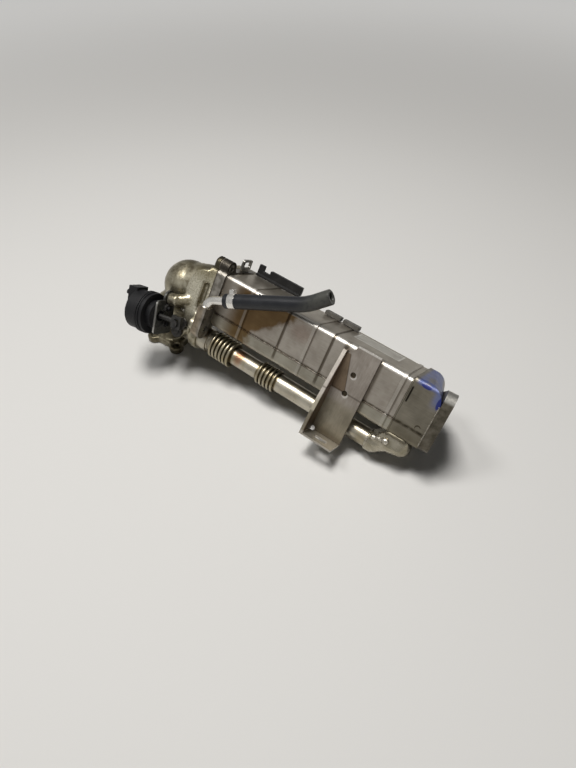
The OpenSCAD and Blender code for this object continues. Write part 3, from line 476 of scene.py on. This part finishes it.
SATIN, MATT = (0.4, 0.55), (0.45, 0.6)
MATERIALS = {
    "shell_steel": shell_steel(),
    "hood_steel": hood_steel(),
    "tube_steel": plain_metal("tube_steel", (0.24, 0.23, 0.2), (0.4, 0.39, 0.36)),
    "flange_steel": flange_steel(),
    "gasket": plain_metal("gasket", (0.10, 0.085, 0.07), (0.2, 0.18, 0.15), rough=MATT),
    "casting": casting(),
    "screw_steel": plain_metal("screw_steel", (0.2, 0.19, 0.165), (0.34, 0.33, 0.3)),
    "dark_steel": plain_metal(
        "dark_steel", (0.028, 0.027, 0.026), (0.07, 0.068, 0.064), rough=SATIN, metallic=0.6),
    "valve_steel": plain_metal(
        "valve_steel", (0.03, 0.028, 0.026), (0.075, 0.07, 0.064), rough=SATIN, metallic=0.6),
    "bush_bronze": plain_metal("bush_bronze", (0.3, 0.21, 0.09), (0.52, 0.4, 0.2)),
    "rubber": black("rubber", (0.02, 0.02, 0.02), (0.05, 0.05, 0.05)),
    "black_plastic": black("black_plastic", (0.006, 0.006, 0.007), (0.018, 0.018, 0.02), specular=0.3),
    "plate_steel": plate_steel(),
    "bypass_steel": bypass_steel(),
    "pipe_steel": plain_metal(
        "pipe_steel", (0.72, 0.7, 0.66), (0.88, 0.86, 0.82), rough=(0.18, 0.28), grain=0.06, bump=0),
    "hose_rubber": hose_rubber(),
    "bracket_steel": bracket_steel(),
    "collector_steel": collector_steel(),
    "clip_plastic": black("clip_plastic", (0.012, 0.012, 0.012), (0.035, 0.035, 0.035)),
    "pad_rubber": black("pad_rubber", (0.10, 0.095, 0.085), (0.24, 0.23, 0.21), rough=MATT),
    "weld": plain_metal(
        "weld", (0.28, 0.25, 0.2), (0.66, 0.62, 0.54), rough=(0.2, 0.36), grain=0.3, bump=0.3),
}
SLOT_OF = {s["node"]: s["material_slot"] for s in frame["record"]["subparts"]}
# Nodes that look different from their slot's other nodes
OWN_LOOK = {
    "outlet_hood": "hood_steel",
    "harness_eye": "tube_steel",
    "bypass_collector": "collector_steel",
    "actuator_nuts": "dark_steel",
    "lever_pin": "dark_steel",
    "actuator_rod": "dark_steel",
}


def look_of(node):
    return MATERIALS[OWN_LOOK.get(node, SLOT_OF[node])]


def paint(obj, material):
    obj.data.materials.clear()
    obj.data.materials.append(material)
    for poly in obj.data.polygons:
        poly.material_index = 0


for name, obj in NODES.items():
    paint(obj, look_of(name))


# Rounded edges on the CAD pieces

SAME_POINT = 1e-6
SHARP_EDGE = math.radians(32)
ROUND_SEGMENTS = 3
ROUNDING_MM = {
    "upper_shell": 0.4, "lower_shell": 0.4, "cooler_flange": 0.9, "outlet_flange": 1.4,
    "mount_bracket": 0.6, "outlet_hood": 0.8, "actuator_cover": 0.8, "actuator_cup": 0.8,
    "actuator_plate": 0.5, "cable_clip": 0.8, "edge_pads": 1.2, "harness_eye": 0.6,
    "hose_clamp": 0.25, "housing_bolts": 0.4, "actuator_nuts": 0.4, "plate_bolt": 0.4,
    "actuator_rod": 0.5, "flap_lever": 0.5, "lever_pin": 0.4,
}


def join_points(obj):
    """Join the points that the faces of a CAD mesh hold apart."""
    weld = obj.modifiers.new("weld", "WELD")
    weld.merge_threshold = SAME_POINT


def round_edges(obj, width_mm):
    join_points(obj)
    bevel = obj.modifiers.new("round", "BEVEL")
    bevel.width = width_mm * MM
    bevel.segments = ROUND_SEGMENTS
    bevel.limit_method = "ANGLE"
    bevel.angle_limit = SHARP_EDGE
    normals = obj.modifiers.new("normals", "WEIGHTED_NORMAL")
    normals.keep_sharp = False


for name, width in ROUNDING_MM.items():
    round_edges(NODES[name], width)


# Pieces made here

def new_piece(name, vertices, faces, material):
    """A smooth piece of the fixed body, in the row frame."""
    mesh = bpy.data.meshes.new(name)
    mesh.from_pydata([tuple(v) for v in vertices], [], faces)
    mesh.polygons.foreach_set("use_smooth", [True] * len(mesh.polygons))
    piece = show(bpy.data.objects.new(name, mesh))
    mesh.materials.append(MATERIALS[material])
    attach(piece, "cooler")
    return piece


def ring_faces(rings, sides, closed):
    """Quads between rings of points, which close on themselves where closed is set."""
    faces = []
    for i in range(rings if closed else rings - 1):
        a, b = i * sides, (i + 1) % rings * sides
        faces += [(a + k, a + (k + 1) % sides, b + (k + 1) % sides, b + k) for k in range(sides)]
    if not closed:
        faces += [tuple(reversed(range(sides))), tuple(range((rings - 1) * sides, rings * sides))]
    return faces


def around(count):
    """Cosine and sine of evenly spaced angles round a circle."""
    return [(math.cos(2 * math.pi * k / count), math.sin(2 * math.pi * k / count)) for k in range(count)]


SMOOTH_FACTOR = 0.5


def soft_copy(node, voxel_mm, passes, press=None):
    """A copy of a CAD node whose inner corners are filled and outer corners rounded, as cast."""
    piece = show(bpy.data.objects.new("cast_" + node, NODES[node].data.copy()))
    join_points(piece)
    remesh = piece.modifiers.new("remesh", "REMESH")
    remesh.mode = "VOXEL"
    remesh.voxel_size = voxel_mm * MM
    smooth = piece.modifiers.new("smooth", "SMOOTH")
    smooth.factor = SMOOTH_FACTOR
    smooth.iterations = passes
    baked = bpy.data.meshes.new_from_object(piece.evaluated_get(bpy.context.evaluated_depsgraph_get()))
    piece.modifiers.clear()
    piece.data = baked
    if press:
        for vertex in baked.vertices:
            vertex.co = press(vertex.co)
    baked.polygons.foreach_set("use_smooth", [True] * len(baked.polygons))
    paint(piece, look_of(node))
    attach(piece, "cooler")
    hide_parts(node)


# The pocket gets shallower under POCKET_Z: from POCKET_X on, over POCKET_RUN, by POCKET_SHARE of its depth
POCKET_X, POCKET_RUN, POCKET_Z, POCKET_SHARE = 246.0, 12.0, -82.0, 0.3


def shallow_pocket(point):
    """The pressed underside of the collector, a little shallower under the hood."""
    x, y, z = (CASING.inverted() @ point) / MM
    share = min(max((x - POCKET_X) / POCKET_RUN, 0.0), 1.0) * POCKET_SHARE
    return in_casing((x, y, z - share * min(z - POCKET_Z, 0.0)))


soft_copy("valve_housing", voxel_mm=1.3, passes=10)
soft_copy("bypass_collector", voxel_mm=0.8, passes=8, press=shallow_pocket)


def return_spring():
    """A copy of the actuator's spring, on the cooler's body in place of its CAD piece."""
    piece = show(bpy.data.objects.new("spring", NODES["return_spring"].data.copy()))
    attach(piece, "cooler")
    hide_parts("return_spring")
    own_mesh(piece)


return_spring()


# Coolant hose, on the same route as its CAD solid

HOSE_R, HOSE_BORE_R, HOSE_EDGE = 9.0, 5.6, 1.0
HOSE_STRAIGHT, HOSE_BEND_R, HOSE_BEND, HOSE_TAIL = 96.0, 74.0, math.radians(18.0), 20.0
HOSE_LENGTH = HOSE_STRAIGHT + HOSE_BEND_R * HOSE_BEND + HOSE_TAIL
HOSE_SIDES, HOSE_STEPS, PATH_STEPS = 48, 60, 40
EDGE_ANGLES = (0, 0.4, 0.8, 1.2, math.pi / 2)
# The bent pipe that holds the hose: its foot, its bend and its straight end
PIPE_X, PIPE_Y, PIPE_BASE_Z = -13.0, -10.0, -47.0
PIPE_BEND_R, PIPE_TURN, PIPE_FREE = 14.0, math.radians(66.0), 16.0
HOSE_RISE = math.pi / 2 - PIPE_TURN


def hose_point(s):
    """Centre line and direction of the hose at a length from its clamped end, in casing axes."""
    start_x = PIPE_X + PIPE_BEND_R * (1 - math.cos(PIPE_TURN)) + PIPE_FREE * math.cos(HOSE_RISE)
    start_z = PIPE_BASE_Z + PIPE_BEND_R * math.sin(PIPE_TURN) + PIPE_FREE * math.sin(HOSE_RISE)
    turn = min(max((s - HOSE_STRAIGHT) / HOSE_BEND_R, 0.0), HOSE_BEND)
    past = max(s - HOSE_STRAIGHT - HOSE_BEND_R * HOSE_BEND, 0.0)
    along = min(s, HOSE_STRAIGHT) + HOSE_BEND_R * math.sin(turn) + past * math.cos(turn)
    up = HOSE_BEND_R * (1 - math.cos(turn)) + past * math.sin(turn)
    c, k = math.cos(HOSE_RISE), math.sin(HOSE_RISE)
    centre = Vector((start_x + along * c - up * k, PIPE_Y, start_z + along * k + up * c))
    angle = HOSE_RISE + turn
    return centre, Vector((math.cos(angle), 0, math.sin(angle)))


def hose():
    """The hose as a tube with rounded ends and an open bore."""
    stations = [HOSE_LENGTH * i / HOSE_STEPS for i in range(1, HOSE_STEPS)]
    edge = [(HOSE_EDGE * (1 - math.cos(a)), HOSE_EDGE * (1 - math.sin(a))) for a in EDGE_ANGLES]
    outer = [(s, HOSE_R - cut) for s, cut in edge]
    outer += [(s, HOSE_R) for s in stations]
    outer += [(HOSE_LENGTH - s, HOSE_R - cut) for s, cut in reversed(edge)]
    inner = [(s, HOSE_BORE_R) for s in (HOSE_LENGTH, *reversed(stations), 0.0)]
    vertices = []
    for s, radius in outer + inner:
        centre, along = hose_point(s)
        side, up = Vector((0, 1, 0)), Vector((-along.z, 0, along.x))
        for cosine, sine in around(HOSE_SIDES):
            vertices.append(in_casing(centre + (side * cosine + up * sine) * radius))
    faces = ring_faces(len(outer + inner), HOSE_SIDES, True)
    piece = new_piece("hose", vertices, faces, "hose_rubber")
    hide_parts("coolant_hose")


hose()


# Welds and brazed fillets

# A bead has this many rings to a drop and this many sides, and its open ends taper to this share
DROP_STEPS, BEAD_SIDES, BEAD_END = 4, 10, 0.35
# A direction that no bead runs along, from which the first ring's own direction is worked out
BEAD_START = (0.31, 0.52, 0.79)


def weld_bead(name, points, radius_mm, pitch_mm, uneven, seed, closed=False, material="weld"):
    """A bead of overlapping drops along a line of casing points."""
    chance = random.Random(seed)
    line = [Vector(p) for p in points]
    if closed:
        line.append(line[0])
    lengths = [(b - a).length for a, b in zip(line, line[1:])]
    count = max(2 * DROP_STEPS, int(sum(lengths) / pitch_mm * DROP_STEPS))
    rings = []
    swell, drop = 1.0, Vector((0, 0, 0))
    normal = Vector(BEAD_START)
    for i in range(count if closed else count + 1):
        s = sum(lengths) * i / count
        k = 0
        while k < len(lengths) - 1 and s > lengths[k]:
            s -= lengths[k]
            k += 1
        along = (line[k + 1] - line[k]).normalized()
        centre = line[k] + along * s
        normal = (normal - along * normal.dot(along)).normalized()
        if i % DROP_STEPS == 0:
            swell = 1.0 + uneven * chance.uniform(-1, 1)
            drop = Vector([chance.uniform(-1, 1) for _ in range(3)]) * uneven * radius_mm * 0.6
        radius = radius_mm * swell * (0.8 + 0.2 * math.sin(math.pi * (i % DROP_STEPS + 0.5) / DROP_STEPS))
        if not closed and i in (0, count):
            radius *= BEAD_END
        rings.append((centre + drop, normal.copy(), along.cross(normal), radius))
    vertices = [in_casing(centre + (u * c + v * s) * radius)
                for centre, u, v, radius in rings for c, s in around(BEAD_SIDES)]
    new_piece(name, vertices, ring_faces(len(rings), BEAD_SIDES, closed), material)


def circle_x(x, radius, y, z, count=48):
    return [(x, y + radius * c, z + radius * s) for c, s in around(count)]


def circle_z(z, radius, x, y, count=32):
    return [(x + radius * c, y + radius * s, z) for c, s in around(count)]


def square_x(x, side, corner, steps=6):
    """Rounded square section of the casing, from its top back corner."""
    far = side - corner
    points = []
    for turn, (cy, cz) in enumerate(((far, -corner), (corner, -corner), (corner, -far), (far, -far))):
        for k in range(steps + 1):
            a = math.pi / 2 * (turn + k / steps)
            points.append((x, cy + corner * math.cos(a), cz + corner * math.sin(a)))
    return points


CASING_SIDE, CASING_CORNER, HOOD_X = 69.0, 6.0, 251.0
FLANGE_X, SLEEVE_X, PIPE_WELD_R = 288.2, -5.9, 5.6
POCKET_LINE = [(249, 6, -71.5), (254, 3.9, -69.8), (265, 3.7, -69.6), (276, 4.2, -69.8)]
TUBE_LINE = [(236, 8.6, -85.5), (243, 7.2, -84), (250, 5.8, -82), (259, 4.4, -80)]

weld_bead("hood_weld", square_x(HOOD_X, CASING_SIDE, CASING_CORNER),
          radius_mm=1.1, pitch_mm=3.0, uneven=0.12, seed=3, closed=True,
          material="hood_steel")
weld_bead("pipe_braze", circle_z(PIPE_BASE_Z + 0.3, PIPE_WELD_R, PIPE_X, PIPE_Y),
          radius_mm=1.5, pitch_mm=5.0, uneven=0.2, seed=5, closed=True)
weld_bead("sleeve_weld", circle_x(SLEEVE_X, BYPASS_R + 0.4, BYPASS_Y, BYPASS_Z),
          radius_mm=1.0, pitch_mm=2.5, uneven=0.12, seed=7, closed=True)
weld_bead("collector_weld", circle_x(TUBE_END_X - 0.2, BYPASS_R + 0.6, BYPASS_Y, BYPASS_Z),
          radius_mm=1.2, pitch_mm=2.5, uneven=0.15, seed=9, closed=True)
weld_bead("pocket_weld", POCKET_LINE,
          radius_mm=3.0, pitch_mm=9.0, uneven=0.05, seed=11, material="hood_steel")
weld_bead("tube_weld", TUBE_LINE,
          radius_mm=3.8, pitch_mm=8.0, uneven=0.35, seed=12)
weld_bead("flange_weld", [(FLANGE_X, -0.1, z) for z in range(-64, -13, 10)],
          radius_mm=1.0, pitch_mm=2.4, uneven=0.1, seed=13)


# Floor, light and background

FLOOR_SIDE = 6.0
FLOOR_COLOUR, BACKGROUND = (0.74, 0.735, 0.72), (0.84, 0.835, 0.82, 1.0)
# The floor glows for the rays that see the background, from none to this much between these distances
FAR_FLOOR_MM, FAR_GLOW = (800, 2600), 0.45


def background_rays(tree):
    """1 for the rays that see the background: from the camera, off metal and through glass."""
    path = tree.nodes.new("ShaderNodeLightPath")
    rays = path.outputs["Is Camera Ray"]
    for other in ("Is Glossy Ray", "Is Transmission Ray"):
        either = tree.nodes.new("ShaderNodeMath")
        either.operation = "MAXIMUM"
        tree.links.new(rays, either.inputs[0])
        tree.links.new(path.outputs[other], either.inputs[1])
        rays = either.outputs["Value"]
    return rays


def floor_paint():
    """Pale floor that stays pale far away, where the lamps don't reach."""
    n = Nodes("floor")
    away = n.add("ShaderNodeVectorMath", operation="LENGTH")
    n.link(n.mm, away.inputs[0])
    far = n.ramp(away.outputs["Value"], *FAR_FLOOR_MM, 0.0, FAR_GLOW)
    n.bsdf.inputs["Emission Color"].default_value = BACKGROUND
    n.put(n.math("MULTIPLY", far, background_rays(n.tree)), n.bsdf.inputs["Emission Strength"])
    return n.finish(FLOOR_COLOUR, 0.75, 0.0, 0.2)


def pale_floor():
    half = FLOOR_SIDE / 2
    corners = [(-half, -half, 0), (half, -half, 0), (half, half, 0), (-half, half, 0)]
    mesh = bpy.data.meshes.new("floor")
    mesh.from_pydata(corners, [], [(0, 1, 2, 3)])
    floor = show(bpy.data.objects.new("floor", mesh))
    mesh.materials.append(floor_paint())


pale_floor()


OBJECT_MIDDLE = Vector((0.19, 0.0, 0.05))


def soft_lamp(name, at, size, watts, tint):
    """A rectangular lamp that looks at the object."""
    data = bpy.data.lights.new(name, "AREA")
    data.shape = "RECTANGLE"
    data.size, data.size_y = size
    data.energy = watts
    data.color = tint
    lamp = show(bpy.data.objects.new(name, data))
    lamp.location = at
    lamp.rotation_euler = (OBJECT_MIDDLE - Vector(at)).to_track_quat("-Z", "Y").to_euler()


soft_lamp("key", at=(0.0, -0.15, 2.3), size=(0.75, 0.6), watts=41.0, tint=(1.0, 0.98, 0.95))
soft_lamp("window", at=(-0.62, -0.6, 1.9), size=(0.45, 0.45), watts=9.0, tint=(1.0, 0.99, 0.97))
soft_lamp("fill", at=(1.2, -0.9, 1.0), size=(1.0, 0.8), watts=0.8, tint=(0.95, 0.97, 1.0))

# Strength of the world as a light, and as the camera and the metal see it, with its rise along each axis
WORLD_LIGHT, WORLD_SEEN, WORLD_RISE = 0.02, 0.37, (-0.03, -0.16, 0.1)


def studio_world():
    """Dim as a light, pale where the camera and the metal see it, brighter in front and overhead."""
    world = bpy.data.worlds.new("studio")
    bpy.context.scene.world = world
    world.use_nodes = True
    tree = world.node_tree
    background = tree.nodes["Background"]
    background.inputs["Color"].default_value = BACKGROUND
    coords = tree.nodes.new("ShaderNodeTexCoord")
    rise = tree.nodes.new("ShaderNodeVectorMath")
    rise.operation = "DOT_PRODUCT"
    rise.inputs[1].default_value = WORLD_RISE
    tree.links.new(coords.outputs["Generated"], rise.inputs[0])
    seen = tree.nodes.new("ShaderNodeMath")
    seen.inputs[1].default_value = WORLD_SEEN
    tree.links.new(rise.outputs["Value"], seen.inputs[0])
    level = tree.nodes.new("ShaderNodeMix")
    level.inputs["A"].default_value = WORLD_LIGHT
    tree.links.new(background_rays(tree), level.inputs["Factor"])
    tree.links.new(seen.outputs["Value"], level.inputs["B"])
    tree.links.new(level.outputs["Result"], background.inputs["Strength"])


studio_world()
